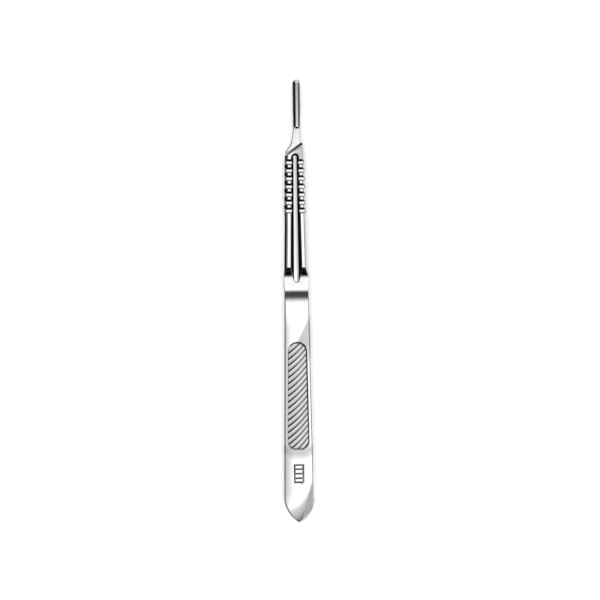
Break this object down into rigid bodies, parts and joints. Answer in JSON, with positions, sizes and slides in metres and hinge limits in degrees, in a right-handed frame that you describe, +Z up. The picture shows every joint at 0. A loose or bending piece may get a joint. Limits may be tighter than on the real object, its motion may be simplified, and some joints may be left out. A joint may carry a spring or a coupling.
{
  "type": "scalpel handle",
  "caption": "One-piece steel scalpel handle with a small blade lug, slanted blade shoulder, notched and channelled grip bar, ribbed thumb pad and pointed rear end",
  "frame": {"origin": "the middle of the box round the handle, at the level of the back face that it lies on", "axes": "+Y along the handle, from its pointed rear end to the tip of the blade lug; +Z up, out of the face that carries the lug; +X across the handle, to the side where the shoulder reaches furthest forward"},
  "size_m": [0.0088, 0.125, 0.0039],
  "materials": {
    "polished_steel": "satin-polished stainless steel"
  },
  "bodies": {
    "root": {"scalpel_handle": "polished_steel"}
  },
  "joints": []
}
